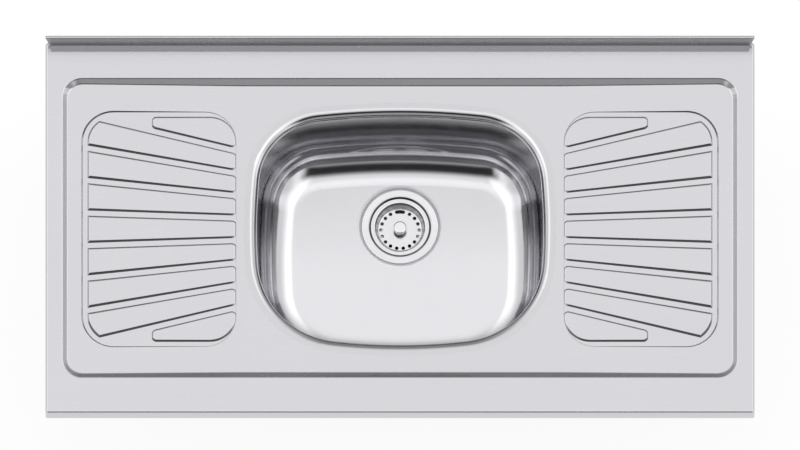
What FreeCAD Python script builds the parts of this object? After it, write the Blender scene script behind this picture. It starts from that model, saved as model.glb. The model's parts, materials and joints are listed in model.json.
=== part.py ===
import FreeCAD, Part
import math
import os

from FreeCAD import Vector

# Lay-on kitchen sink, millimetres.
# +X is to the right and +Y to the wall as someone stands at the sink, +Z is up.
# The origin is the middle of the front seat lip, on the plane that rests on the base cabinet.

# Sheet steel and overall size
sheet = 1.0
overall_width = 1000.0
overall_depth = 542.0
rim_height = 28.0
edge_bend = 3.0
side_corner = 4.0
seat_lip = 16.0
mitre_gap = 1.0
cut_overrun = 5.0
tiny = 0.001

# Upstand along the wall
upstand_height = 37.0
upstand_slope_rise = 7.0
upstand_slope_run = 7.0
upstand_lean = 2.0
upstand_thickness = 4.5
upstand_land = 6.0
upstand_bend = 1.0
upstand_end_inset = 8.0

# Sunk tray inside the rim
tray_side_margin = 24.0
tray_front_margin = 52.0
tray_back_margin = 39.0
tray_corner = 28.0
tray_depth = 8.0
tray_fall = 2.0
tray_wall_run = 9.0
tray_edge_bend = 3.0
tray_foot_bend = 3.0

# Drainers with fanned grooves
drainer_bowl_margin = 26.5
drainer_end_margin = 50.5
drainer_side_margin = 45.3
drainer_corner = 46.0
drainer_band = 11.0
groove_count = 8
groove_width = 12.0
groove_fan_outer_share = 0.972
groove_fan_inner_share = 0.658
groove_depth_at_bowl = 0.3
groove_wall_slope = 1.0
groove_wall_run = 2.3
panel_rise_at_bowl = 2.0
panel_rise_outer = 2.6
panel_corner = 4.0
panel_edge_bend = 1.6
panel_bowl_margin = 4.0
panel_least_height = 13.0

# Drawn bowl
bowl_width = 405.0
bowl_tray_margin = 51.5
bowl_depth = 170.0
bowl_side_radius = 800.0
bowl_back_radius = 1040.0
bowl_front_radius = 820.0
bowl_back_corner = 94.0
bowl_front_corner = 122.0
bowl_draft = 7.0
bowl_bottom_radius = 51.0
bowl_rim_radius = 11.0
bowl_weld_margin = 17.0
bowl_floor_lap = 1.6

# Waste hole and its pressed recess
waste_back_margin = 1.0
waste_hole_radius = 45.0
recess_radius = 57.5
recess_floor_radius = 55.0
recess_bend = 2.5
recess_depth = 2.8

# Strainer body, from its flange down to the threaded spud
strainer_wall = 1.2
seat_corner_share = 0.414
flange_radius = 54.0
flange_gasket_thickness = 1.5
seat_top_radius = 44.0
cup_radius = 39.0
cup_depth = 33.0
cup_floor_radius = 3.0
outlet_radius = 19.0
spud_radius = 23.5
spud_length = 20.0
spider_bar = 4.0
spider_thickness = 3.0
hub_radius = 7.0
hub_bore_radius = 4.1

# Rings that clamp the strainer body to the bowl
ring_clearance = 0.4
ring_radius = 53.0
bowl_gasket_thickness = 3.0
friction_washer_thickness = 1.0
lock_nut_height = 8.0
lock_nut_radius = 52.0
lock_nut_lug_count = 6
lock_nut_lug_width = 12.0
lock_nut_lug_radius = 57.0

# Tailpiece and the nut that holds it
tail_radius = 19.05
tail_wall = 1.3
tail_length = 52.0
tail_flange_radius = 22.8
tail_flange_thickness = 1.6
tail_neck_radius = 20.0
tail_neck_length = 4.0
spud_washer_thickness = 2.0
coupling_nut_height = 20.0
coupling_nut_wall = 3.5
coupling_nut_floor = 2.5
coupling_nut_wing_count = 4
coupling_nut_wing_width = 6.0
coupling_nut_wing_reach = 5.0
running_clearance = 0.3

# Lift-out basket
basket_sheet = 0.9
basket_rim_radius = 41.0
basket_inner_radius = 35.0
basket_floor_radius = 31.0
basket_depth = 15.0
basket_bend = 1.6
basket_hole_count = 18
basket_hole_radius = 2.6
basket_hole_ring = 26.8
basket_slot_holes = 2
basket_bore_radius = 3.3
knob_radius = 9.0
knob_height = 16.0
knob_cap_thickness = 5.0
knob_neck_radius = 5.0
knob_foot_radius = 7.5
knob_socket = 8.0
knob_fillet = 1.8
stem_radius = 3.0
turning_clearance = 0.05
assembly_clearance = 0.05
collar_radius = 5.0
stopper_radius = 24.0
stopper_thickness = 4.0
stopper_lip = 1.2
retainer_radius = 8.0
retainer_thickness = 1.2
clip_radius = 3.8
clip_length = 4.5
clip_split = 1.5
clip_drop = 1.0
stem_tip = 1.0

# Stiffening channels under the drainers
channel_place_shares = (0.286, 0.766)
channel_width = 44.0
channel_web = 20.0
channel_height = 14.0
channel_sheet = 1.5
channel_end_margin = 30.0

# Corner brackets for the cabinet screws
bracket_length = 60.0
bracket_reach = 20.0
bracket_rise = 18.0
bracket_sheet = 2.0
bracket_from_end = 70.0
bracket_hole_radius = 2.75
bracket_bend = 1.0

# Damping pad under the bowl
pad_width = 190.0
pad_breadth = 76.0
pad_thickness = 2.5
pad_corner = 10.0
pad_gap = 6.0

# Places worked out from the sizes above
front_face = -seat_lip / 2
back_face = front_face + overall_depth
half_width = overall_width / 2
upstand_foot = back_face - upstand_thickness - upstand_lean - upstand_slope_run
tray_front = front_face + tray_front_margin
tray_back = upstand_foot - tray_back_margin
tray_half_width = half_width - tray_side_margin
middle = (tray_front + tray_back) / 2
tray_half_depth = (tray_back - tray_front) / 2
drainer_inner = bowl_width / 2 + drainer_bowl_margin
drainer_outer = half_width - drainer_end_margin
drainer_half_depth = tray_half_depth - drainer_side_margin
groove_reach = (groove_count - 1) / 2
groove_pitch_outer = drainer_half_depth * groove_fan_outer_share / groove_reach
groove_pitch_inner = drainer_half_depth * groove_fan_inner_share / groove_reach
bowl_breadth = 2 * (tray_half_depth - bowl_tray_margin)
bowl_floor_inset = bowl_draft + bowl_bottom_radius + bowl_floor_lap
tray_floor = rim_height - tray_depth
groove_floor = tray_floor - groove_depth_at_bowl
bowl_floor = tray_floor - bowl_depth
recess_floor = bowl_floor - recess_depth
waste_inset = bowl_draft + bowl_bottom_radius + recess_radius + waste_back_margin
waste_y = middle + bowl_breadth / 2 - waste_inset
waste_axis = Vector(0, waste_y, 0)
flange_top = recess_floor + flange_gasket_thickness + strainer_wall
seat_bottom = flange_top - (seat_top_radius - cup_radius)
cup_floor = seat_bottom - cup_depth
spud_end = cup_floor - strainer_wall - spud_length
ring_top = recess_floor - sheet
basket_seat = seat_bottom + basket_rim_radius - cup_radius + running_clearance
basket_floor = basket_seat - basket_depth
stopper_bottom = cup_floor + running_clearance
clip_bottom = cup_floor - strainer_wall - spider_thickness - clip_drop
channel_places = [drainer_inner + share * (drainer_outer - drainer_inner)
                  for share in channel_place_shares]


def save(name, solids):
    """Write the solids of one node to its own file."""
    if not solids or not all(s.isValid() and s.Volume > 0 for s in solids):
        raise ValueError(f"{name} is not a sound solid")
    shape = solids[0] if len(solids) == 1 else Part.makeCompound(solids)
    shape.exportStep(f"parts/{name}.step")
    print(f"{name}: {len(solids)} solid, {sum(s.Volume for s in solids) / 1000:.1f} cm3")


def rounded_wire(corners):
    """A closed wire through corner points, each given as (point, radius)."""
    count = len(corners)
    starts, edges = [], []
    for i, (point, radius) in enumerate(corners):
        before = (corners[i - 1][0] - point).normalize()
        after = (corners[(i + 1) % count][0] - point).normalize()
        half = before.getAngle(after) / 2
        if radius > 0 and half < math.pi / 2 - 1e-6:
            run = radius / math.tan(half)
            inward = (before + after).normalize()
            top = point + inward * (radius / math.sin(half) - radius)
            starts.append((point + before * run, top, point + after * run))
        else:
            starts.append((point, None, point))
    for i, (first, top, last) in enumerate(starts):
        if top is not None:
            edges.append(Part.Arc(first, top, last).toShape())
        next_first = starts[(i + 1) % count][0]
        if (next_first - last).Length > 1e-6:
            edges.append(Part.LineSegment(last, next_first).toShape())
    return Part.Wire(edges)


def bent_sheet(path, inside_radius, thickness):
    """The closed outline of bent sheet in the YZ plane, to the right of a path along its face."""
    back, face_radii, back_radii = [], [], []
    for i, point in enumerate(path):
        before = (point - path[i - 1]).normalize() if i else None
        after = (path[i + 1] - point).normalize() if i + 1 < len(path) else None
        one, two = before or after, after or before
        left_turn = one.y * two.z - one.z * two.y > 0
        bisector = Vector(0, one.z + two.z, -one.y - two.y)
        back.append(point + bisector * (2 * thickness / bisector.Length ** 2))
        face_radii.append(inside_radius + (0 if left_turn else thickness))
        back_radii.append(inside_radius + (thickness if left_turn else 0))
    face_radii[0] = face_radii[-1] = back_radii[0] = back_radii[-1] = 0
    return rounded_wire(list(zip(path, face_radii)) + list(zip(back, back_radii))[::-1])


def box_wire(x0, x1, y0, y1, radius, z):
    points = [Vector(x0, y0, z), Vector(x1, y0, z), Vector(x1, y1, z), Vector(x0, y1, z)]
    return rounded_wire([(p, radius) for p in points])


def ruled(*wires):
    return Part.makeLoft(list(wires), True, True)


def prism(wire, direction):
    return Part.Face(wire).extrude(direction)


def mirrored(shape):
    """The same shape on the other side of the sink's middle."""
    return shape.mirror(Vector(), Vector(1, 0, 0))


def turned(corners, centre=waste_axis):
    """A solid turned about an upright axis from (radius, z, bend) points."""
    wire = rounded_wire([(centre + Vector(r, 0, z), bend) for r, z, bend in corners])
    return Part.Face(wire).revolve(centre, Vector(0, 0, 1), 360).Solids[0]


def ring(inner, outer, bottom, top):
    return turned([(inner, bottom, 0), (outer, bottom, 0), (outer, top, 0), (inner, top, 0)])


def rod(radius, bottom, top):
    return Part.makeCylinder(radius, top - bottom, waste_axis + Vector(0, 0, bottom))


def drainer_outline(grow, x_inner, band, z):
    """The outline of the right drainer in plan, pulled in by a band."""
    half = drainer_half_depth - band + grow
    x0, x1 = x_inner - grow, drainer_outer - band + grow
    return box_wire(x0, x1, middle - half, middle + half, drainer_corner - band + grow, z)


def groove_edge(place, side, x):
    """The y of one long edge of a groove, counted from the middle groove, at a given x."""
    share = (x - drainer_inner) / (drainer_outer - drainer_inner)
    pitch = groove_pitch_inner + (groove_pitch_outer - groove_pitch_inner) * share
    return middle + pitch * place + side * groove_width / 2


def panel_wire(place, grow, z):
    """The outline of the raised panel between two neighbouring grooves."""
    x0 = drainer_inner + panel_bowl_margin - grow
    x1 = drainer_outer + cut_overrun
    lower = [groove_edge(place - 0.5, 1, x) - grow for x in (x0, x1)]
    upper = [groove_edge(place + 0.5, -1, x) + grow for x in (x0, x1)]
    points = [(x0, lower[0]), (x1, lower[1]), (x1, upper[1]), (x0, upper[0])]
    return rounded_wire([(Vector(x, y, z), panel_corner + grow) for x, y in points])


def short_panel_wire(side, grow, z):
    """The outline of the short panel between the last groove and the drainer's edge."""
    last = groove_reach * side
    x0 = drainer_inner + panel_bowl_margin
    edge = middle + side * (drainer_half_depth - drainer_band)
    near = groove_edge(last, side, x0)
    slope = (groove_edge(last, side, drainer_outer) - near) / (drainer_outer - x0)
    x1 = x0 + (edge - side * panel_least_height - near) / slope
    x0, x1, edge = x0 - grow, x1 + grow, edge + side * grow
    start, end = [groove_edge(last, side, x) - side * grow for x in (x0, x1)]
    points = [(x0, start), (x1, end), (x1, edge), (x0, edge)]
    return rounded_wire([(Vector(x, y, z), panel_corner + grow) for x, y in points])


def wall_shift(drop, run, rise):
    """How far out the back of a sloped wall starts, so that the sheet keeps its thickness."""
    return drop * math.tan(math.atan2(rise, run) / 2)


def drainer_levels(drop):
    """The groove floor, a height above the tray, and how far the walls lean between them."""
    bottom = groove_floor - drop
    top = bottom + 2 * panel_rise_outer
    return bottom, top, groove_wall_slope * (top - bottom) - groove_wall_run


def groove_cutter(drop):
    """What the drainer takes out of the right half of the tray, down to the groove floor."""
    bottom, top, lean = drainer_levels(drop)
    shift = wall_shift(drop, groove_wall_slope, 1)
    return ruled(drainer_outline(shift - groove_wall_run, drainer_inner, 0, bottom),
                 drainer_outline(shift + lean, drainer_inner, 0, top))


def drainer_panels(drop):
    """The raised panels that the grooves leave standing, each with a soft upper edge."""
    bottom, top, lean = drainer_levels(drop)
    shift = wall_shift(drop, groove_wall_slope, 1)
    low, high = groove_wall_run - shift, -lean - shift
    near, far = drainer_inner + panel_bowl_margin, drainer_outer + cut_overrun
    slope = (panel_rise_outer - panel_rise_at_bowl) / (drainer_outer - drainer_inner)
    rises = [panel_rise_at_bowl + slope * (x - drainer_inner) for x in (0, far)]
    under = Part.makePolygon([Vector(x, tray_front, bottom + rise) for x, rise in (
        (0, -drop), (far, -drop), (far, rises[1]), (0, rises[0]), (0, -drop))])
    under = prism(under, Vector(0, tray_back - tray_front, 0))
    inside = ruled(drainer_outline(low, near, drainer_band, bottom),
                   drainer_outline(high, near, drainer_band, top)).common(under)
    panels = []
    for i in range(groove_count - 1):
        place = i - (groove_count - 2) / 2
        panels.append(ruled(panel_wire(place, low, bottom), panel_wire(place, high, top)))
    for side in (-1, 1):
        panels.append(ruled(short_panel_wire(side, low, bottom), short_panel_wire(side, high, top)))
    panels = [panel.common(inside) for panel in panels]
    if drop == 0:
        panels = [p.makeFillet(panel_edge_bend, [e for e in p.Edges if e.BoundBox.ZMin > bottom
                                                 + panel_rise_at_bowl / 2]) for p in panels]
    return panels


def tray_outline(grow, z):
    half = tray_half_width + grow
    return box_wire(-half, half, tray_front - grow, tray_back + grow, tray_corner + grow, z)


def tray_cutter(drop):
    """The sunk tray, whose floor falls from both ends to the bowl."""
    bottom = tray_floor - drop
    shift = wall_shift(drop, tray_wall_run, tray_depth)
    cutter = ruled(tray_outline(shift - tray_wall_run, bottom), tray_outline(shift, bottom + tray_depth))
    far = half_width
    rise = tray_fall * (far - drainer_inner) / (drainer_outer - drainer_inner)
    wedge = Part.makePolygon([Vector(x, tray_front - cut_overrun, z) for x, z in (
        (drainer_inner, bottom - cut_overrun), (far, bottom - cut_overrun),
        (far, bottom + rise), (drainer_inner, bottom), (drainer_inner, bottom - cut_overrun))])
    wedge = prism(wedge, Vector(0, tray_back - tray_front + 2 * cut_overrun, 0))
    return cutter.cut(wedge).cut(mirrored(wedge))


def level_edges(shape, z):
    """The edges of a shape that lie flat at one height."""
    return [e for e in shape.Edges if abs(e.BoundBox.ZMin - z) + abs(e.BoundBox.ZMax - z) < tiny]


def relief(drop):
    """Everything below the face of the pressing, or below its back when dropped by the sheet."""
    top = rim_height - drop
    block = prism(box_wire(-half_width + drop, half_width - drop, front_face + drop,
                           back_face - drop, side_corner - drop, 0), Vector(0, 0, top))
    block = block.makeFillet(edge_bend - drop, level_edges(block, top))
    block = block.cut(tray_cutter(drop))
    inside = FreeCAD.BoundBox(-tray_half_width, tray_front, 0, tray_half_width, tray_back, top)
    inside.enlarge(tray_edge_bend)
    brink = [e for e in level_edges(block, top) if inside.isInside(e.BoundBox)]
    block = block.makeFillet(tray_edge_bend - drop, brink)
    foot_top = top - tray_depth / 2
    foot = [e for e in block.Edges if inside.isInside(e.BoundBox) and 0 < e.BoundBox.ZMin
            and e.BoundBox.ZMax < foot_top and e.BoundBox.YLength < tray_back - tray_front - tray_depth * 2]
    block = block.makeFillet(tray_foot_bend + drop, foot)
    grooves = groove_cutter(drop)
    panels = drainer_panels(drop)
    block = block.cut([grooves, mirrored(grooves)])
    return block.fuse(panels + [mirrored(panel) for panel in panels])


def upstand():
    """The sheet from the rim's back up and down to the cabinet; its ends slant out above the rim."""
    y, top = upstand_foot, rim_height + upstand_height
    face = [Vector(0, y - upstand_land, rim_height), Vector(0, y, rim_height),
            Vector(0, y + upstand_slope_run, rim_height + upstand_slope_rise),
            Vector(0, back_face - upstand_thickness, top), Vector(0, back_face, top),
            Vector(0, back_face, 0), Vector(0, back_face - seat_lip, 0)]
    wire = bent_sheet(face, upstand_bend, sheet)
    wire.translate(Vector(-half_width, 0, 0))
    over = cut_overrun
    near = half_width - upstand_end_inset
    far = near + upstand_end_inset * (1 + over / upstand_height)
    ends = [(-near, -over), (near, -over), (near, rim_height), (far, top + over), (-far, top + over),
            (-near, rim_height)]
    start = y - upstand_land - over
    ends = Part.makePolygon([Vector(x, start, z) for x, z in ends + ends[:1]])
    ends = prism(ends, Vector(0, back_face + over - start, 0))
    return prism(wire, Vector(overall_width, 0, 0)).common(ends)


def mitre(x, y, angle):
    """The slit between two folded lips, from near a corner inwards."""
    slit = Part.makeBox(2 * seat_lip, mitre_gap, sheet, Vector(2 * edge_bend, -mitre_gap / 2, 0))
    slit.rotate(Vector(), Vector(0, 0, 1), angle)
    slit.translate(Vector(x, y, 0))
    return slit


def deck():
    """One pressing: rim, tray, drainers, upstand and folded edges."""
    shell = relief(0).cut(relief(sheet))
    lip = box_wire(-half_width, half_width, front_face, back_face, edge_bend, 0)
    hole = box_wire(seat_lip - half_width, half_width - seat_lip, front_face + seat_lip,
                    back_face - seat_lip, 0, 0)
    lips = prism(lip, Vector(0, 0, sheet)).cut(prism(hole, Vector(0, 0, sheet)))
    shell = shell.fuse(lips)
    window = Part.makeBox(overall_width - 2 * upstand_end_inset,
                          back_face - upstand_foot + upstand_land + cut_overrun,
                          rim_height + cut_overrun,
                          Vector(upstand_end_inset - half_width, upstand_foot - upstand_land, 0))
    shell = shell.cut(window).fuse(upstand())
    for x, y, angle in ((-half_width, front_face, 45), (half_width, front_face, 135),
                        (half_width, back_face, 225), (-half_width, back_face, 315)):
        shell = shell.cut(mitre(x, y, angle))
    return shell.cut(bowl_prism(bowl_weld_margin, 0, rim_height)).removeSplitter().Solids


def bowl_arcs():
    """The arcs of the bowl's mouth as (centre, radius, start angle, end angle), anticlockwise."""
    right = Vector(bowl_width / 2 - bowl_side_radius, middle, 0)
    back = Vector(0, middle + bowl_breadth / 2 - bowl_back_radius, 0)
    front = Vector(0, middle - bowl_breadth / 2 + bowl_front_radius, 0)

    def corner(long_centre, long_radius, radius, up):
        """The centre of the corner arc that touches the side arc and a long arc."""
        r1, r2 = bowl_side_radius - radius, long_radius - radius
        between = long_centre - right
        along = (r1 ** 2 - r2 ** 2 + between.Length ** 2) / (2 * between.Length)
        across = math.sqrt(r1 ** 2 - along ** 2)
        unit = Vector(between).normalize()
        normal = Vector(unit.y, -unit.x, 0)
        options = [right + unit * along + normal * across * s for s in (-1, 1)]
        return max(options, key=lambda p: p.x + p.y * up)

    def angle(centre, point):
        return math.degrees(math.atan2(point.y - centre.y, point.x - centre.x))

    back_corner = corner(back, bowl_back_radius, bowl_back_corner, 1)
    front_corner = corner(front, bowl_front_radius, bowl_front_corner, -1)
    side_end = angle(right, back_corner)
    side_start = angle(right, front_corner)
    back_start = angle(back, back_corner)
    front_end = angle(front, front_corner)
    half = [(front, bowl_front_radius, -90, front_end),
            (front_corner, bowl_front_corner, front_end, side_start),
            (right, bowl_side_radius, side_start, side_end),
            (back_corner, bowl_back_corner, side_end, back_start),
            (back, bowl_back_radius, back_start, 90)]
    other = [(Vector(-c.x, c.y, 0), r, 180 - b, 180 - a) for c, r, a, b in reversed(half)]
    return half + other


def bowl_edge(grow, z):
    """The bowl's mouth outline, grown or pulled in, as a closed wire."""
    edges = []
    for centre, radius, start, end in bowl_arcs():
        points = []
        for a in (start, (start + end) / 2, end):
            spoke = Vector(math.cos(math.radians(a)), math.sin(math.radians(a)), 0)
            points.append(centre + spoke * (radius + grow) + Vector(0, 0, z))
        edges.append(Part.Arc(*points).toShape())
    return Part.Wire(edges)


def bowl_prism(grow, bottom, top):
    return prism(bowl_edge(grow, bottom), Vector(0, 0, top - bottom))


def bowl_section(drop):
    """The bowl's wall in section as (inset from the mouth, z, bend), from rim to floor."""
    turn_radius = bowl_bottom_radius + drop
    return [(-bowl_weld_margin, tray_floor - drop, 0),
            (-drop, tray_floor - drop, bowl_rim_radius - drop),
            (bowl_draft - drop, bowl_floor - drop, turn_radius),
            (bowl_floor_inset, bowl_floor - drop, 0)]


def bowl():
    """The bowl: each arc of its mouth carries the same wall section round its own centre."""
    section = bowl_section(0) + bowl_section(sheet)[::-1]
    pieces = []
    for centre, radius, start, end in bowl_arcs():
        wire = rounded_wire([(centre + Vector(radius - inset, 0, z), bend)
                             for inset, z, bend in section])
        wire.rotate(centre, Vector(0, 0, 1), start)
        pieces.append(Part.Face(wire).revolve(centre, Vector(0, 0, 1), end - start))
    floor = bowl_prism(-bowl_floor_inset, bowl_floor - sheet, bowl_floor)
    shell = floor.fuse(pieces)
    punch = turned([(0, recess_floor, 0), (recess_floor_radius, recess_floor, recess_bend),
                    (recess_radius, bowl_floor, 0), (0, bowl_floor, 0)])
    back = turned([(0, recess_floor - sheet, 0), (recess_floor_radius + sheet, recess_floor - sheet, 0),
                   (recess_radius + sheet, bowl_floor - sheet, 0), (0, bowl_floor - sheet, 0)])
    hole = rod(waste_hole_radius, recess_floor - sheet, bowl_floor)
    return shell.fuse(back).cut(punch).cut(hole).removeSplitter().Solids


def channel(x):
    """A hat-shaped stiffener bonded under the grooves of one drainer."""
    top = groove_floor - sheet
    half, web = channel_width / 2, channel_web / 2
    foot = (web + half) / 2
    face = [(-half, top), (-foot, top), (-web, top - channel_height), (web, top - channel_height),
            (foot, top), (half, top)]
    wire = bent_sheet([Vector(0, y, z) for y, z in face], channel_sheet, channel_sheet)
    length = tray_back - tray_front - 2 * channel_end_margin
    wire.translate(Vector(-length / 2, 0, 0))
    body = prism(wire, Vector(length, 0, 0))
    body.rotate(Vector(), Vector(0, 0, 1), 90)
    body.translate(Vector(x, middle, 0))
    return body.Solids


def bracket(side, y):
    """An angle on the seat lip with a screw hole that faces the cabinet's side."""
    edge = half_width - sheet
    face = [Vector(0, -edge, sheet + bracket_sheet), Vector(0, bracket_reach - edge, sheet + bracket_sheet),
            Vector(0, bracket_reach - edge, -bracket_rise)]
    wire = bent_sheet(face, bracket_bend, bracket_sheet)
    wire.translate(Vector(-bracket_length / 2, 0, 0))
    body = prism(wire, Vector(bracket_length, 0, 0))
    drill = Part.makeCylinder(bracket_hole_radius, 2 * bracket_reach,
                              Vector(0, -edge, (sheet - bracket_rise) / 2), Vector(0, 1, 0))
    body = body.cut(drill)
    body.rotate(Vector(), Vector(0, 0, 1), -90)
    body = body if side < 0 else mirrored(body)
    body.translate(Vector(0, y, 0))
    return body.Solids


def damping_pad():
    """The pad stuck under the bowl, in front of the waste."""
    back = waste_y - recess_radius - sheet - pad_gap
    top = bowl_floor - sheet
    outline = box_wire(-pad_width / 2, pad_width / 2, back - pad_breadth, back, pad_corner,
                       top - pad_thickness)
    return prism(outline, Vector(0, 0, pad_thickness)).Solids


def strainer_body():
    """Flange, sloped seat, cup, floor with its spider, and the spud below."""
    wall = strainer_wall
    flange_bottom = flange_top - wall
    floor_bottom = cup_floor - wall
    body = turned([
        (outlet_radius, cup_floor, 0), (cup_radius, cup_floor, cup_floor_radius),
        (cup_radius, seat_bottom, 0), (seat_top_radius, flange_top, 0),
        (flange_radius, flange_top, wall / 2), (flange_radius, flange_bottom, 0),
        (seat_top_radius + wall * seat_corner_share, flange_bottom, 0),
        (cup_radius + wall, seat_bottom - wall * seat_corner_share, 0),
        (cup_radius + wall, floor_bottom + cup_floor_radius, 0),
        (cup_radius + wall - cup_floor_radius, floor_bottom, 0), (spud_radius, floor_bottom, 0),
        (spud_radius, spud_end, 0), (outlet_radius, spud_end, 0)])
    top = floor_bottom
    hub = rod(hub_radius, top - spider_thickness, top)
    for angle in (0, 90):
        bar = Part.makeBox(2 * outlet_radius + wall, spider_bar, spider_thickness,
                           Vector(-outlet_radius - wall / 2, -spider_bar / 2, top - spider_thickness))
        bar.rotate(Vector(), Vector(0, 0, 1), angle)
        bar.translate(waste_axis)
        hub = hub.fuse(bar)
    bore = rod(hub_bore_radius, top - spider_thickness, top)
    return body.fuse(hub.cut(bore)).removeSplitter().Solids


def flange_gasket():
    inner = seat_top_radius + strainer_wall
    return ring(inner, flange_radius - ring_clearance, recess_floor,
                recess_floor + flange_gasket_thickness).Solids


def bowl_gasket():
    top = ring_top
    return ring(waste_hole_radius, ring_radius, top - bowl_gasket_thickness, top).Solids


def friction_washer():
    top = ring_top - bowl_gasket_thickness
    inner = cup_radius + strainer_wall + ring_clearance
    return ring(inner, ring_radius, top - friction_washer_thickness, top).Solids


def lock_nut():
    """The ring nut that pulls the strainer body down, with lugs to turn it by."""
    top = ring_top - bowl_gasket_thickness - friction_washer_thickness
    bottom = top - lock_nut_height
    inner = cup_radius + strainer_wall + ring_clearance
    body = ring(inner, lock_nut_radius, bottom, top)
    for i in range(lock_nut_lug_count):
        lug = prism(box_wire(inner + ring_clearance, lock_nut_lug_radius, -lock_nut_lug_width / 2,
                             lock_nut_lug_width / 2, lock_nut_lug_width / 6, bottom),
                    Vector(0, 0, lock_nut_height))
        lug.rotate(Vector(), Vector(0, 0, 1), 360 * i / lock_nut_lug_count)
        lug.translate(waste_axis)
        body = body.fuse(lug)
    return body.removeSplitter().Solids


def spud_washer():
    return ring(outlet_radius, tail_flange_radius, spud_end - spud_washer_thickness, spud_end).Solids


def tailpiece():
    """The plain tube to the trap, with the flange that the coupling nut holds."""
    top = spud_end - spud_washer_thickness
    inner = tail_radius - tail_wall
    under = top - tail_flange_thickness
    return turned([(inner, top - tail_length, 0), (tail_radius, top - tail_length, 0),
                   (tail_radius, under - tail_neck_length, 0),
                   (tail_neck_radius, under - tail_neck_length, 0),
                   (tail_neck_radius, under, 0), (tail_flange_radius, under, 0),
                   (tail_flange_radius, top, 0), (inner, top, 0)]).Solids


def coupling_nut():
    """The winged nut that clamps the tailpiece flange to the spud."""
    seat = spud_end - spud_washer_thickness - tail_flange_thickness
    bottom, top = seat - coupling_nut_floor, seat - coupling_nut_floor + coupling_nut_height
    inner = spud_radius + ring_clearance
    outer = inner + coupling_nut_wall
    throat = tail_neck_radius + ring_clearance
    chamfer = coupling_nut_floor / 2
    body = turned([(throat, bottom, 0), (outer - chamfer, bottom, 0), (outer, bottom + chamfer, 0),
                   (outer, top, 0),
                   (inner, top, 0), (inner, seat, 0), (throat, seat, 0)])
    for i in range(coupling_nut_wing_count):
        wing = prism(box_wire(inner + coupling_nut_wall / 2, outer + coupling_nut_wing_reach,
                              -coupling_nut_wing_width / 2, coupling_nut_wing_width / 2,
                              coupling_nut_wing_width / 4, bottom + coupling_nut_floor),
                     Vector(0, 0, coupling_nut_height - 2 * coupling_nut_floor))
        wing.rotate(Vector(), Vector(0, 0, 1), 360 * (i + 0.5) / coupling_nut_wing_count)
        wing.translate(waste_axis)
        body = body.fuse(wing)
    return body.removeSplitter().Solids


def basket_cup():
    """The pressed basket: rim on the sloped seat, tapered wall, floor with holes and one slot."""
    under, top = basket_floor - basket_sheet, basket_seat + basket_sheet
    body = turned([
        (basket_bore_radius, basket_floor, 0), (basket_floor_radius, basket_floor, basket_bend),
        (basket_inner_radius, top, basket_bend), (basket_rim_radius, top, 0),
        (basket_rim_radius, basket_seat, 0),
        (basket_inner_radius + basket_sheet, basket_seat, basket_bend / 2),
        (basket_floor_radius + basket_sheet, under, basket_bend + basket_sheet),
        (basket_bore_radius, under, 0)])
    step = 360 / basket_hole_count
    tool = rod(basket_hole_radius, under - cut_overrun, basket_floor + cut_overrun)
    tool.translate(Vector(basket_hole_ring, 0, 0))
    for i in range(basket_slot_holes, basket_hole_count):
        hole = tool.copy()
        hole.rotate(waste_axis, Vector(0, 0, 1), 90 + step * (i - (basket_slot_holes - 1) / 2))
        body = body.cut(hole)
    low, high = basket_hole_ring - basket_hole_radius, basket_hole_ring + basket_hole_radius
    base, height = under - cut_overrun, basket_sheet + 2 * cut_overrun
    slot_turn = step * (basket_slot_holes - 1)
    section = Part.makePolygon([waste_axis + Vector(r, 0, z) for r, z in (
        (low, base), (high, base), (high, base + height), (low, base + height), (low, base))])
    slot = Part.Face(section).revolve(waste_axis, Vector(0, 0, 1), slot_turn)
    for turn in (0, slot_turn):
        end = tool.copy()
        end.rotate(waste_axis, Vector(0, 0, 1), turn)
        slot = slot.fuse(end)
    slot.rotate(waste_axis, Vector(0, 0, 1), 90 - slot_turn / 2)
    return body.cut(slot).removeSplitter().Solids


def basket_knob():
    """The knob, hollow below for the head of the stem."""
    bottom, top = basket_floor, basket_floor + knob_height
    cap = top - knob_cap_thickness
    bore = stem_radius + turning_clearance
    return turned([(0, bottom + knob_socket, 0), (bore, bottom + knob_socket, 0),
                   (bore, bottom, 0), (knob_foot_radius, bottom, 0),
                   (knob_neck_radius, bottom + knob_fillet * 2, 0),
                   (knob_neck_radius, cap, knob_fillet), (knob_radius, cap, 0),
                   (knob_radius, top, knob_fillet), (0, top, 0)]).Solids


def stem():
    """The post from the knob through basket and stopper to the clip."""
    return rod(stem_radius, clip_bottom - stem_tip, basket_floor + knob_socket).Solids


def stopper():
    """The rubber disc that closes the outlet, with a raised edge."""
    bottom, top = stopper_bottom, stopper_bottom + stopper_thickness
    bore = stem_radius + assembly_clearance
    return turned([(bore, bottom, 0), (stopper_radius - stopper_thickness / 2, bottom, 0),
                   (stopper_radius, bottom + stopper_lip, 0), (stopper_radius, top, 0),
                   (stopper_radius - stopper_lip * 2, top, 0),
                   (stopper_radius - stopper_lip * 3, top - stopper_lip, 0),
                   (bore, top - stopper_lip, 0)]).Solids


def retainer():
    """The collar that holds the stopper up against the stem's shoulder."""
    bottom = stopper_bottom + stopper_thickness - stopper_lip
    bore = stem_radius + assembly_clearance
    return ring(bore, retainer_radius, bottom, bottom + retainer_thickness).Solids


def stem_collar():
    """The spacer between the basket's floor and the stopper's retainer."""
    bottom = stopper_bottom + stopper_thickness - stopper_lip + retainer_thickness
    bore = stem_radius + assembly_clearance
    return ring(bore, collar_radius, bottom, basket_floor - basket_sheet).Solids


def clip():
    """The split spring ring on the stem's end that grips the spider's hub."""
    bore = stem_radius + assembly_clearance
    body = ring(bore, clip_radius, clip_bottom, clip_bottom + clip_length)
    split = Part.makeBox(clip_radius * 2, clip_split, clip_length,
                         waste_axis + Vector(0, -clip_split / 2, clip_bottom))
    return body.cut(split).Solids


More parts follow.
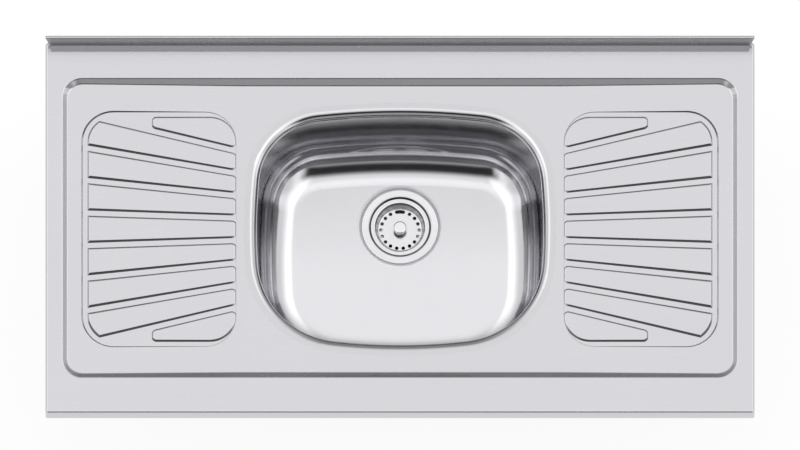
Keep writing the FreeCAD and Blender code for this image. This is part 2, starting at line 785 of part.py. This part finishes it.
os.makedirs("parts", exist_ok=True)
save("sink_deck", deck())
save("sink_bowl", bowl())
for name, side in (("left", -1), ("right", 1)):
    for place_name, place in zip(("inner", "outer"), channel_places):
        save(f"channel_{name}_{place_name}", channel(side * place))
    save(f"bracket_{name}_front", bracket(side, front_face + bracket_from_end))
    save(f"bracket_{name}_back", bracket(side, back_face - bracket_from_end))
save("damping_pad", damping_pad())
save("strainer_body", strainer_body())
save("flange_gasket", flange_gasket())
save("bowl_gasket", bowl_gasket())
save("friction_washer", friction_washer())
save("lock_nut", lock_nut())
save("spud_washer", spud_washer())
save("tailpiece", tailpiece())
save("coupling_nut", coupling_nut())
save("basket_cup", basket_cup())
save("basket_knob", basket_knob())
save("basket_stem", stem())
save("stopper_seal", stopper())
save("stopper_retainer", retainer())
save("stem_collar", stem_collar())
save("stem_clip", clip())
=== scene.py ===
import json
import math

import bmesh
import bpy
from mathutils import Matrix, Vector


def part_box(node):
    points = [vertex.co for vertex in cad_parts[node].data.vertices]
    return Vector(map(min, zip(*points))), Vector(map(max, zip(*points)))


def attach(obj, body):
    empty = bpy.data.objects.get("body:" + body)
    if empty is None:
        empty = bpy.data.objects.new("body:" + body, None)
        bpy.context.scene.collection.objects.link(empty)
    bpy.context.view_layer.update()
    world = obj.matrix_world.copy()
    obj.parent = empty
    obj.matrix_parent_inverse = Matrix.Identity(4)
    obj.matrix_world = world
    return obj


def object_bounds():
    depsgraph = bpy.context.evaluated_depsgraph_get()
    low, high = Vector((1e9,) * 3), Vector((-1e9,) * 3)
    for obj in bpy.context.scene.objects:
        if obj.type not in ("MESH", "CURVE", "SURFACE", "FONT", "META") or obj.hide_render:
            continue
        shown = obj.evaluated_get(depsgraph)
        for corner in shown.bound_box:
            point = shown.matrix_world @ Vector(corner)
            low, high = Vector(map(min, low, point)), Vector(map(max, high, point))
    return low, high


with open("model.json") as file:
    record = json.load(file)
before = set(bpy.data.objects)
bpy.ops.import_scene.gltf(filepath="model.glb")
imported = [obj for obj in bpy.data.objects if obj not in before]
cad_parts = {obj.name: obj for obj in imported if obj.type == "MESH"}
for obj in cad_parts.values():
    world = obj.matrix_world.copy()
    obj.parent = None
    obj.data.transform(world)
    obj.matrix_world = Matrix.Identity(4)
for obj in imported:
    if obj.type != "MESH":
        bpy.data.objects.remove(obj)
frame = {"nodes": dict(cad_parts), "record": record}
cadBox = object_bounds()
print("frame loaded")

wasteAxis = [sum(pair) / 2 for pair in zip(*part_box("tailpiece"))]
wasteX, wasteY = wasteAxis[0], wasteAxis[1]


# wraps a node socket, so that shader maths reads as maths
class Value:
    def __init__(self, tree, socket):
        self.tree = tree
        self.socket = socket

    def math(self, operation, first, second=None, clamp=False):
        node = self.tree.nodes.new("ShaderNodeMath")
        node.operation = operation
        node.use_clamp = clamp
        for place, item in enumerate((first, second)):
            if isinstance(item, Value):
                self.tree.links.new(item.socket, node.inputs[place])
            elif item is not None:
                node.inputs[place].default_value = item
        return Value(self.tree, node.outputs[0])

    def __add__(self, other):
        return self.math("ADD", self, other)

    def __radd__(self, other):
        return self.math("ADD", other, self)

    def __sub__(self, other):
        return self.math("SUBTRACT", self, other)

    def __rsub__(self, other):
        return self.math("SUBTRACT", other, self)

    def __mul__(self, other):
        return self.math("MULTIPLY", self, other)

    def __rmul__(self, other):
        return self.math("MULTIPLY", other, self)

    def __truediv__(self, other):
        return self.math("DIVIDE", self, other)

    def clamped(self):
        return self.math("ADD", self, 0.0, clamp=True)

    def smooth(self, low, high):
        node = self.tree.nodes.new("ShaderNodeMapRange")
        node.interpolation_type = "SMOOTHSTEP"
        self.tree.links.new(self.socket, node.inputs["Value"])
        node.inputs["From Min"].default_value = low
        node.inputs["From Max"].default_value = high
        return Value(self.tree, node.outputs[0])


# one material's node tree, with the shader and the output already there
class Finish:
    def __init__(self, name, colour, metallic=0.0, roughness=0.5, **fixed):
        self.material = bpy.data.materials.new(name)
        self.material.use_nodes = True
        self.tree = self.material.node_tree
        self.tree.nodes.clear()
        self.output = self.tree.nodes.new("ShaderNodeOutputMaterial")
        self.shader = self.tree.nodes.new("ShaderNodeBsdfPrincipled")
        self.tree.links.new(self.shader.outputs[0], self.output.inputs["Surface"])
        self.colour = colour
        self.shader.inputs["Base Color"].default_value = (*colour, 1.0)
        self.shader.inputs["Metallic"].default_value = metallic
        self.shader.inputs["Roughness"].default_value = roughness
        for label, amount in fixed.items():
            self.shader.inputs[label.replace("_", " ")].default_value = amount
        self.material.diffuse_color = (*colour, 1.0)
        self.place = self.node("ShaderNodeTexCoord", output="Object")

    def node(self, kind, settings=None, output=0, **inputs):
        node = self.tree.nodes.new(kind)
        for label, setting in (settings or {}).items():
            setattr(node, label, setting)
        for label, item in inputs.items():
            key = int(label[1:]) if label[0] == "i" and label[1:].isdigit() else label.replace("_", " ")
            if isinstance(item, Value):
                self.tree.links.new(item.socket, node.inputs[key])
            else:
                node.inputs[key].default_value = item
        return Value(self.tree, node.outputs[output])

    def stretched(self, scale):
        return self.node("ShaderNodeMapping", Vector=self.place, Scale=scale)

    def noise(self, scale, detail=3.0, roughness=0.55, place=None, distortion=0.0):
        return self.node("ShaderNodeTexNoise", Vector=place or self.place, Scale=scale, Detail=detail,
                         Roughness=roughness, Distortion=distortion)

    def tint(self, amount):
        # darkens or lightens the base colour where amount is below or above 1
        grey = self.node("ShaderNodeCombineColor", Red=amount, Green=amount, Blue=amount)
        return self.node("ShaderNodeMix", {"data_type": "RGBA", "blend_type": "MULTIPLY"}, output=2,
                         i0=1.0, i6=(*self.colour, 1.0), i7=grey)

    def feed(self, label, value):
        self.tree.links.new(value.socket, self.shader.inputs[label])

    def bump(self, height, strength, distance):
        return self.node("ShaderNodeBump", Height=height, Strength=strength, Distance=distance)


brushed = {
    "colour": (0.577, 0.574, 0.598),
    "roughness": 0.26,
    # paler than the deck's steel: painted light on the bowl's inside; bowlShade takes the lip back to the
    # deck's tone
    "bowlColour": (0.68, 0.675, 0.70),
    "bowlRoughness": 0.13,
    "bowlGrain": (260.0, 260.0, 9.0),
    "bowlTint": 0.03,
    "bowlBump": 0.02,
    "broadShare": 0.18,
    "cloudScale": 5.0,
    "cloudTint": 0.03,
    "smudgeScale": 26.0,
    "smudgeFrom": 0.55,
    "smudgeWear": 0.12,
    "unevenness": 0.06,
    "bumpDistance": 0.0004,
    "grainAcross": 900.0,
    "grainAlong": 6.0,
    "grainTint": 0.025,
    "grainBump": 0.02,
}

# painted shade and highlight on the deck's pressed walls, set by which way each wall faces
paintedDeckShade = {
    "drainerStart": 0.236,
    "drainerFront": 0.072,
    "drainerBack": 0.458,
    "frontFacing": 0.76,
    "backFacing": -0.12,
    "stepFront": 0.468,
    "stepBack": 0.488,
    "stepBend": 0.50,
    "slope": (0.04, 0.22),
    "bendSlope": (0.05, 0.20),
    "wallSlope": (0.50, 0.62),
    "topSlope": (0.0, 0.15),
    "startSoft": 0.004,
    "sideSoft": 0.002,
    "stepSoft": 0.001,
}

# the recess ring is dulled and rougher; its paler colour is a painted highlight
recessRing = {
    "inner": 0.0532,
    "outer": 0.0604,
    "top": -0.140,
    "dulled": 0.75,
    "rougher": 0.35,
    "paler": 0.04,
    "soft": 0.002,
}


# painted shade on the bowl's upper inside walls and a painted light gradient across its floor; the lip is
# taken to the deck's tone
bowlTones = {
    "lipDarker": 0.15,
    "lipFoot": 0.008,
    "lipRise": 0.008,
    "wallDarker": 0.42,
    "wallFoot": -0.092,
    "wallSoft": 0.010,
    "floorEdge": (-0.149, -0.135),
    "insideEdge": (-0.010, 0.0),
    "floorPaler": 0.02,
    "floorFade": 0.11,
    "fadeFront": 0.235,
    "fadeBack": 0.360,
    "mouthCentre": (0.0, 0.2628, 0.020),
}


def axisOf(finish, letter, vector=None):
    return finish.node("ShaderNodeSeparateXYZ", output=letter, Vector=vector or finish.place)


def wasteRadius(finish):
    moved = finish.node("ShaderNodeVectorMath", {"operation": "SUBTRACT"}, i0=finish.place,
                        i1=(wasteX, wasteY, 0.0))
    flat = finish.node("ShaderNodeVectorMath", {"operation": "MULTIPLY"}, i0=moved, i1=(1.0, 1.0, 0.0))
    return finish.node("ShaderNodeVectorMath", {"operation": "LENGTH"}, output=1, i0=flat)


# 1 between two limits and 0 outside them, with soft ends
def band(value, low, high, soft=0.0005):
    return value.smooth(low - soft, low + soft) * (1.0 - value.smooth(high - soft, high + soft))


# fine parallel polishing lines; grain gives how closely they are packed along each axis
def steelFinish(name, colour, roughness, grain, tintAmount, bumpAmount, shade=None):
    finish = Finish(name, colour, metallic=1.0, roughness=roughness)
    fine = finish.noise(1.0, 4.0, 0.65, finish.stretched(grain))
    broad = finish.noise(1.0, 2.0, 0.5, finish.stretched([g * brushed["broadShare"] for g in grain]))
    cloud = finish.noise(brushed["cloudScale"], 3.0, 0.5)
    smudge = finish.noise(brushed["smudgeScale"], 4.0, 0.6, distortion=0.4)
    tone = 1.0 + (fine - 0.5) * tintAmount + (broad - 0.5) * (tintAmount * 0.8)
    tone = tone + (cloud - 0.5) * brushed["cloudTint"]
    wear = (smudge - brushed["smudgeFrom"]).clamped() * brushed["smudgeWear"]
    uneven = brushed["unevenness"]
    dullness = roughness + (fine - 0.5) * uneven + (cloud - 0.5) * uneven + wear
    if shade:
        tone, dullness = shade(finish, tone, dullness)
    finish.feed("Base Color", finish.tint(tone))
    finish.feed("Roughness", dullness.clamped())
    finish.feed("Normal", finish.bump(fine + broad * 0.6, bumpAmount, brushed["bumpDistance"]))
    return finish.material


# painted shade: the drainers' pressed walls are darker where they face the front and a little paler, a
# painted highlight, where they face the back; the tray's back bends get painted shade too
def deckShade(finish, tone, dullness):
    normal = finish.node("ShaderNodeNewGeometry", output="Normal")
    toBack = axisOf(finish, "Y", normal)
    onTop = axisOf(finish, "Z", normal).smooth(*paintedDeckShade["topSlope"])
    side = axisOf(finish, "X")
    side = side.math("ABSOLUTE", side)
    back = axisOf(finish, "Y")
    start = paintedDeckShade["drainerStart"]
    drainer = side.smooth(start - paintedDeckShade["startSoft"], start + paintedDeckShade["startSoft"]) * onTop
    drainer = drainer * band(back, paintedDeckShade["drainerFront"], paintedDeckShade["drainerBack"],
                             paintedDeckShade["sideSoft"])
    toFront = 0.0 - toBack
    walls = toFront.smooth(*paintedDeckShade["slope"]) * paintedDeckShade["frontFacing"]
    walls = walls + toBack.smooth(*paintedDeckShade["slope"]) * paintedDeckShade["backFacing"]
    step = band(back, paintedDeckShade["stepFront"], paintedDeckShade["stepBack"], paintedDeckShade["stepSoft"]) * onTop
    bends = toFront.smooth(*paintedDeckShade["bendSlope"]) * (1.0 - toFront.smooth(*paintedDeckShade["wallSlope"]))
    # painted shade on front-facing drainer walls and the tray's back bends, painted highlight on
    # back-facing walls
    tone = tone * (1.0 - drainer * walls) * (1.0 - step * bends * paintedDeckShade["stepBend"])
    return tone, dullness


def deckSteel():
    grain = (brushed["grainAlong"], brushed["grainAcross"], brushed["grainAcross"])
    return steelFinish("deckSteel", brushed["colour"], brushed["roughness"], grain,
                       brushed["grainTint"], brushed["grainBump"], deckShade)


# the lip is brought to the deck's tone; the upper inside walls get painted shade and the floor a painted
# gradient of light, paler toward the front; the narrow recess round the strainer flange is dull, so it
# doesn't mirror the dark, and its colour is a little paler, a painted highlight
def bowlShade(finish, tone, dullness):
    up = axisOf(finish, "Z")
    fromMouth = finish.node("ShaderNodeVectorMath", {"operation": "SUBTRACT"}, i0=finish.place,
                            i1=bowlTones["mouthCentre"])
    outward = finish.node("ShaderNodeVectorMath", {"operation": "DOT_PRODUCT"}, output=1, i0=fromMouth,
                          i1=finish.node("ShaderNodeNewGeometry", output="Normal"))
    inside = 1.0 - outward.smooth(*bowlTones["insideEdge"])
    lip = up.smooth(bowlTones["lipFoot"], bowlTones["lipFoot"] + bowlTones["lipRise"])
    wall = band(up, bowlTones["wallFoot"], bowlTones["lipFoot"], bowlTones["wallSoft"]) * inside
    floor = 1.0 - up.smooth(*bowlTones["floorEdge"])
    fade = axisOf(finish, "Y").smooth(bowlTones["fadeFront"], bowlTones["fadeBack"])
    # painted shade on the upper inside walls, and painted light on the floor, paler toward the front
    tone = tone * (1.0 - lip * bowlTones["lipDarker"]) * (1.0 - wall * bowlTones["wallDarker"])
    tone = tone * (1.0 + floor * (bowlTones["floorPaler"] - fade * bowlTones["floorFade"]))
    ring = band(wasteRadius(finish), recessRing["inner"], recessRing["outer"])
    top, soft = recessRing["top"], recessRing["soft"]
    ring = ring * (1.0 - up.smooth(top - soft, top + soft))
    finish.feed("Metallic", 1.0 - ring * recessRing["dulled"])
    # the ring's paler tone is a painted highlight
    return tone * (1.0 + ring * recessRing["paler"]), dullness + ring * recessRing["rougher"]


def bowlSteel():
    return steelFinish("bowlSteel", brushed["bowlColour"], brushed["bowlRoughness"],
                       brushed["bowlGrain"], brushed["bowlTint"], brushed["bowlBump"], bowlShade)


# painted shade and highlight rings: inner radius, outer radius and how much darker, painted shade in the
# gaps; below 0 is paler, a painted highlight
strainerRings = ((0.0404, 0.0434, 0.80), (0.0455, 0.0545, -0.12))
basketRings = ((0.0338, 0.0356, 0.80),)

# inner radius, outer radius and how much duller
basketWall = (0.0290, 0.0362, 0.70)

turned = {
    "pitch": 0.0006,
    "tint": 0.10,
    "ringRoughness": 0.12,
    "cloudRoughness": 0.14,
    "frontShare": 0.45,
    "frontEdge": (-0.030, 0.020),
    "upwardEdge": (0.0, 0.1),
    "flatEdge": (0.80, 0.95),
    "sideEdge": (0.15, 0.45),
    "wallRoughness": 0.25,
}

# painted shadow on the knob's steep side, darkest low down under its cap
knobSide = {
    "high": -0.1530,
    "low": -0.1575,
    "darker": 0.70,
}


# turned parts carry rings round the waste's axis; bands are painted shade rings in the gaps, darkest behind
# the axis, and painted highlight rings; sideShade is a painted shadow
def turnedSteel(name, colour, roughness, bands=(), sideShade=0.0, dull=None):
    finish = Finish(name, colour, metallic=1.0, roughness=roughness)
    radius = wasteRadius(finish)
    spread = finish.node("ShaderNodeCombineXYZ", X=radius / turned["pitch"], Y=0.0, Z=0.0)
    rings = finish.noise(1.0, 3.0, 0.6, spread)
    cloud = finish.noise(60.0, 3.0, 0.55)
    tone = 1.0 + (rings - 0.5) * turned["tint"] + (cloud - 0.5) * turned["tint"]
    upward = axisOf(finish, "Z", finish.node("ShaderNodeNewGeometry", output="Normal"))
    # painted shade rings, full behind the waste's axis and weaker in front, and painted highlight rings
    # where the amount is below 0
    if bands:
        front = turned["frontShare"]
        behind = front + (1.0 - front) * (axisOf(finish, "Y") - wasteY).smooth(*turned["frontEdge"])
        seen = behind * upward.smooth(*turned["upwardEdge"])
        for inner, outer, darker in bands:
            tone = tone * (1.0 - band(radius, inner, outer) * seen * darker)
    # painted shadow down the steep side of the knob
    if sideShade:
        depth = 1.0 - axisOf(finish, "Z").smooth(knobSide["low"], knobSide["high"])
        tone = tone * (1.0 - (1.0 - upward.smooth(*turned["sideEdge"])) * depth * sideShade)
    dullness = roughness + (rings - 0.5) * turned["ringRoughness"]
    dullness = dullness + (cloud - 0.5) * turned["cloudRoughness"]
    if dull:
        inner, outer, amount = dull
        wall = band(radius, inner, outer) * (1.0 - upward.smooth(*turned["flatEdge"]))
        finish.feed("Metallic", 1.0 - wall * amount)
        dullness = dullness + wall * turned["wallRoughness"]
    finish.feed("Base Color", finish.tint(tone))
    finish.feed("Roughness", dullness.clamped())
    finish.feed("Normal", finish.bump(rings, 0.10, 0.0002))
    return finish.material


def zincSheet(name, colour):
    finish = Finish(name, colour, metallic=0.85, roughness=0.42)
    spangle = finish.node("ShaderNodeTexVoronoi", {"feature": "F1"}, output="Color",
                          Vector=finish.place, Scale=140.0)
    grey = finish.node("ShaderNodeRGBToBW", Color=spangle)
    rubbed = finish.noise(35.0, 4.0, 0.6)
    finish.feed("Base Color", finish.tint(0.90 + grey * 0.18 + (rubbed - 0.5) * 0.10))
    finish.feed("Roughness", (0.36 + grey * 0.14 + (rubbed - 0.5) * 0.2).clamped())
    finish.feed("Normal", finish.bump(grey, 0.08, 0.0003))
    return finish.material


def plainFinish(name, colour, roughness, speck, bumpAmount, tintAmount=0.06, **fixed):
    finish = Finish(name, colour, roughness=roughness, **fixed)
    fine = finish.noise(speck, 4.0, 0.6)
    cloud = finish.noise(speck * 0.07, 3.0, 0.5)
    finish.feed("Base Color", finish.tint(1.0 + (fine - 0.5) * tintAmount + (cloud - 0.5) * tintAmount * 2))
    finish.feed("Roughness", (roughness + (fine - 0.5) * 0.14 + (cloud - 0.5) * 0.12).clamped())
    finish.feed("Normal", finish.bump(fine, bumpAmount, 0.0004))
    return finish.material


print("making the finishes")
finishes = {
    "deck_steel": deckSteel(),
    "bowl_steel": bowlSteel(),
    "strainer_steel": turnedSteel("strainerSteel", (0.66, 0.66, 0.68), 0.20, bands=strainerRings),
    "basket_steel": turnedSteel("basketSteel", (0.70, 0.70, 0.72), 0.16, bands=basketRings,
                                dull=basketWall),
    "knob_steel": turnedSteel("knobSteel", (0.74, 0.74, 0.76), 0.12, sideShade=knobSide["darker"]),
    "stem_steel": turnedSteel("stemSteel", (0.60, 0.61, 0.62), 0.30),
    "zinc_sheet": zincSheet("zincSheet", (0.58, 0.60, 0.61)),
    "bracket_zinc": zincSheet("bracketZinc", (0.52, 0.54, 0.56)),
    "cast_zinc": plainFinish("castZinc", (0.42, 0.43, 0.44), 0.48, 700.0, 0.25, 0.10, Metallic=0.8),
    "bitumen": plainFinish("bitumenPad", (0.045, 0.045, 0.048), 0.72, 420.0, 0.5, 0.3),
    "sealing_rubber": plainFinish("sealingRubber", (0.03, 0.03, 0.032), 0.6, 600.0, 0.2, 0.2),
    "stopper_rubber": plainFinish("stopperRubber", (0.025, 0.025, 0.027), 0.45, 600.0, 0.15, 0.2),
    "fibre_board": plainFinish("fibreWasher", (0.46, 0.36, 0.24), 0.8, 900.0, 0.4, 0.3),
    "pipe_plastic": plainFinish("pipePlastic", (0.78, 0.78, 0.76), 0.38, 300.0, 0.05, 0.04),
    "nut_plastic": plainFinish("nutPlastic", (0.80, 0.80, 0.78), 0.32, 300.0, 0.06, 0.04),
    "clip_plastic": plainFinish("clipPlastic", (0.74, 0.74, 0.70), 0.4, 300.0, 0.05, 0.05),
}
for entry in frame["record"]["subparts"]:
    node = frame["nodes"][entry["node"]]
    node.data.materials.clear()
    node.data.materials.append(finishes[entry["material_slot"]])


mergeDistance = 0.000002


def paint(piece, slotName):
    piece.data.materials.clear()
    piece.data.materials.append(finishes[slotName])


def newPiece(name, mesh, slotName, smooth=True):
    bmesh.ops.remove_doubles(mesh, verts=mesh.verts, dist=mergeDistance)
    bmesh.ops.recalc_face_normals(mesh, faces=mesh.faces)
    data = bpy.data.meshes.new(name)
    mesh.to_mesh(data)
    mesh.free()
    piece = bpy.data.objects.new(name, data)
    bpy.context.scene.collection.objects.link(piece)
    if smooth:
        for face in data.polygons:
            face.use_smooth = True
    paint(piece, slotName)
    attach(piece, "sink")


waste = {
    "bodyRadius": 0.0402,
    "bodyFoot": 0.0045,
    "spudRadius": 0.0235,
    "spudLength": 0.020,
    "lockNutRadius": 0.052,
    "lockNutRibs": 48,
    "couplingRadius": 0.0274,
    "couplingRibs": 36,
    "ribDepth": 0.0009,
    "ribMargin": 0.0012,
    "tailRadius": 0.01905,
    "beadShares": (0.06, 0.22),
    "beadSize": 0.0006,
}

threads = {
    "depth": 0.00038,
    "pitch": 0.0016,
    "steps": 64,
    "embed": 0.0006,
}


# a screw thread: one triangular ridge that climbs round the waste's axis
def addThread(name, radius, low, high, slotName):
    pitch = threads["pitch"]
    turns = int((high - low) / pitch) - 1
    foot = radius - threads["embed"]
    profile = [(foot, 0.12), (radius, 0.12), (radius + threads["depth"], 0.5), (radius, 0.88), (foot, 0.88)]
    mesh = bmesh.new()
    corners = [mesh.verts.new((wasteX + r, wasteY, low + share * pitch)) for r, share in profile]
    start = mesh.faces.new(corners)
    bmesh.ops.spin(mesh, geom=[start] + list(start.edges) + corners, cent=(wasteX, wasteY, 0.0),
                   axis=(0.0, 0.0, 1.0), dvec=(0.0, 0.0, pitch / threads["steps"]),
                   angle=turns * math.tau, steps=turns * threads["steps"])
    newPiece(name, mesh, slotName, smooth=False)


def height(name):
    low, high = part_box(name)
    return low[2], high[2]


grips = {
    "stepsPerRib": 8,
    "embed": 0.0008,
    "roundness": 0.5,
}

beads = {
    "steps": 12,
    "turnSteps": 96,
}


# a band of rounded finger ribs round a nut
def addGrip(name, radius, depth, count, low, high, slotName):
    mesh = bmesh.new()
    steps = count * grips["stepsPerRib"]
    around = Matrix.Translation((wasteX, wasteY, low))
    outer = bmesh.ops.create_circle(mesh, segments=steps, radius=radius, matrix=around)["verts"]
    bmesh.ops.create_circle(mesh, segments=steps, radius=radius - grips["embed"], matrix=around)
    for vertex in outer:
        spoke = Vector((vertex.co.x - wasteX, vertex.co.y - wasteY, 0.0)).normalized()
        wave = abs(math.sin(math.atan2(spoke.y, spoke.x) * count / 2))
        vertex.co += spoke * depth * wave ** grips["roundness"]
    bmesh.ops.bridge_loops(mesh, edges=list(mesh.edges))
    shell = bmesh.ops.extrude_face_region(mesh, geom=list(mesh.faces), use_keep_orig=True)["geom"]
    raised = [part for part in shell if isinstance(part, bmesh.types.BMVert)]
    bmesh.ops.translate(mesh, verts=raised, vec=(0.0, 0.0, high - low))
    newPiece(name, mesh, slotName, smooth=False)


# a rounded ring bead on a tube
def addBead(name, radius, level, size, slotName):
    mesh = bmesh.new()
    corners = []
    steps = beads["steps"]
    for step in range(steps):
        angle = math.tau * step / steps
        place = (wasteX + radius + size * math.cos(angle), wasteY, level + size * math.sin(angle))
        corners.append(mesh.verts.new(place))
    edges = [mesh.edges.new((corners[step - 1], corners[step])) for step in range(steps)]
    bmesh.ops.spin(mesh, geom=corners + edges, cent=(wasteX, wasteY, 0.0), axis=(0.0, 0.0, 1.0),
                   angle=math.tau, steps=beads["turnSteps"], use_merge=True)
    newPiece(name, mesh, slotName)


def dressWaste():
    nutLow, nutHigh = height("lock_nut")
    bodyLow = height("strainer_body")[0]
    couplingLow, couplingHigh = height("coupling_nut")
    tailLow, tailHigh = height("tailpiece")
    addThread("bodyThread", waste["bodyRadius"], bodyLow + waste["spudLength"] + waste["bodyFoot"],
              nutLow, "strainer_steel")
    addThread("spudThread", waste["spudRadius"], couplingHigh, bodyLow + waste["spudLength"],
              "strainer_steel")
    addGrip("lockNutGrip", waste["lockNutRadius"], waste["ribDepth"], waste["lockNutRibs"],
            nutLow + waste["ribMargin"], nutHigh - waste["ribMargin"], "cast_zinc")
    addGrip("couplingGrip", waste["couplingRadius"], waste["ribDepth"], waste["couplingRibs"],
            couplingLow + waste["ribMargin"] * 2, couplingHigh - waste["ribMargin"], "nut_plastic")
    for place, share in enumerate(waste["beadShares"]):
        addBead(f"tailBead{place + 1}", waste["tailRadius"], tailLow + (tailHigh - tailLow) * share,
                waste["beadSize"], "pipe_plastic")


studio = {
    "tilt": 15.5,
    "frameWidth": 1.1283,
    "aim": (0.0, 0.2690, 0.020),
    "distance": 3.0,
    "floorDrop": 0.004,
    "floorColour": (0.93, 0.93, 0.93),
    "floorLift": 0.9,
    "ceiling": 1.13,
    "ridge": 0.30,
    "sideBoxes": 0.50,
    "sideGap": 0.75,
    "sideWalls": 0.70,
    "horizon": 0.34,
    "horizonDimmed": 0.68,
    "ridgeEdge": (0.06, 0.26),
    "boxEdge": (0.18, 0.32),
    "gapEdge": (0.42, 0.80),
    "wallEdge": (0.88, 0.96),
    "fallEdge": (0.34, 0.88),
    "darkEdge": (-0.60, -0.28),
    "darkSides": (0.35, 0.65),
    "frontEdge": (-0.92, -0.78),
    "horizonSides": (0.88, 0.95),
    "horizonShare": 0.3,
    "floorSize": 6.0,
    "floorMiddle": 0.26,
    "backWall": 0.30,
    "frontDark": 0.03,
    "frontWall": 0.50,
}


def addFloor():
    mesh = bmesh.new()
    bmesh.ops.create_grid(mesh, x_segments=1, y_segments=1, size=studio["floorSize"])
    bmesh.ops.translate(mesh, verts=mesh.verts,
                        vec=(0.0, studio["floorMiddle"], cadBox[0][2] - studio["floorDrop"]))
    data = bpy.data.meshes.new("floor")
    mesh.to_mesh(data)
    mesh.free()
    floor = bpy.data.objects.new("floor", data)
    bpy.context.scene.collection.objects.link(floor)
    finish = Finish("floorPaint", studio["floorColour"], roughness=0.9)
    cloud = finish.noise(2.0, 2.0, 0.5)
    finish.feed("Base Color", finish.tint(1.0 + (cloud - 0.5) * 0.01))
    rays = finish.tree.nodes.new("ShaderNodeLightPath").outputs
    seen = Value(finish.tree, rays["Is Camera Ray"]) + Value(finish.tree, rays["Is Glossy Ray"])
    seen = (seen + Value(finish.tree, rays["Is Transmission Ray"])).clamped()
    white = finish.tree.nodes.new("ShaderNodeEmission")
    blend = finish.tree.nodes.new("ShaderNodeMixShader")
    finish.tree.links.new((seen * studio["floorLift"]).socket, blend.inputs[0])
    finish.tree.links.new(finish.shader.outputs[0], blend.inputs[1])
    finish.tree.links.new(white.outputs[0], blend.inputs[2])
    finish.tree.links.new(blend.outputs[0], finish.output.inputs["Surface"])
    data.materials.append(finish.material)


overhead = {
    "size": (2.4, 2.0),
    "place": (0.0, 0.9, 2.6),
    "target": (0.0, 0.26, 0.0),
    "power": 26.0,
}


def addLamp():
    lamp = bpy.data.lights.new("overhead", "AREA")
    lamp.shape = "RECTANGLE"
    lamp.size, lamp.size_y = overhead["size"]
    lamp.energy = overhead["power"]
    lampObject = bpy.data.objects.new("overhead", lamp)
    lampObject.location = overhead["place"]
    aim = Vector(overhead["target"]) - Vector(overhead["place"])
    lampObject.visible_glossy = False  # metal mirrors the ceiling, not the lamp
    lampObject.rotation_euler = aim.to_track_quat("-Z", "Y").to_euler()
    bpy.context.scene.collection.objects.link(lampObject)


# a studio: bright ceiling with a brighter strip across, white boxes and walls left and right,
# dimmer gaps between those and at the horizon, a dark band behind the camera and a grey wall below it
def setWorld():
    world = bpy.data.worlds.new("studio")
    bpy.context.scene.world = world
    world.use_nodes = True
    tree = world.node_tree
    tree.nodes.clear()
    output = tree.nodes.new("ShaderNodeOutputWorld")
    background = tree.nodes.new("ShaderNodeBackground")
    tree.links.new(background.outputs[0], output.inputs["Surface"])
    coordinate = tree.nodes.new("ShaderNodeTexCoord")
    split = tree.nodes.new("ShaderNodeSeparateXYZ")
    tree.links.new(coordinate.outputs["Generated"], split.inputs[0])
    up = Value(tree, split.outputs[2])
    back = Value(tree, split.outputs[1])
    side = Value(tree, split.outputs[0]).math("ABSOLUTE", Value(tree, split.outputs[0]))
    ridge = (1.0 - back.math("ABSOLUTE", back).smooth(*studio["ridgeEdge"])) * studio["ridge"]
    boxes = side.smooth(*studio["boxEdge"]) * studio["sideBoxes"]
    boxes = boxes - side.smooth(*studio["gapEdge"]) * studio["sideGap"]
    boxes = boxes + side.smooth(*studio["wallEdge"]) * studio["sideWalls"]
    fall = 1.0 - back.smooth(*studio["fallEdge"]) * (1.0 - studio["backWall"])
    horizon = studio["horizon"]
    offHorizon = up.math("ABSOLUTE", up).smooth(horizon * studio["horizonShare"], horizon)
    dimmed = (1.0 - offHorizon) * side.smooth(*studio["horizonSides"]) * studio["horizonDimmed"]
    bright = (studio["ceiling"] + ridge + boxes) * fall * (1.0 - dimmed)
    dark = (1.0 - back.smooth(*studio["darkEdge"])) * (1.0 - side.smooth(*studio["darkSides"]))
    front = 1.0 - back.smooth(*studio["frontEdge"])
    front = front * (studio["frontWall"] - studio["frontDark"]) + studio["frontDark"]
    level = bright * (1.0 - dark) + dark * front
    rays = tree.nodes.new("ShaderNodeLightPath").outputs
    seen = Value(tree, rays["Is Camera Ray"])
    level = level * (1.0 - seen) + seen
    tree.links.new(level.socket, background.inputs["Color"])
    background.inputs["Strength"].default_value = 1.0


def addCamera():
    camera = bpy.data.cameras.new("camera")
    camera.type = "ORTHO"
    camera.ortho_scale = studio["frameWidth"]
    cameraObject = bpy.data.objects.new("camera", camera)
    tilt = math.radians(studio["tilt"])
    look = Vector((0.0, math.sin(tilt), -math.cos(tilt)))
    cameraObject.location = Vector(studio["aim"]) - look * studio["distance"]
    cameraObject.rotation_euler = (tilt, 0.0, 0.0)
    bpy.context.scene.collection.objects.link(cameraObject)
    bpy.context.scene.camera = cameraObject


print("dressing the waste")
dressWaste()

print("setting the stage")
addFloor()
setWorld()
addCamera()
addLamp()
bpy.context.scene.view_settings.view_transform = "Standard"
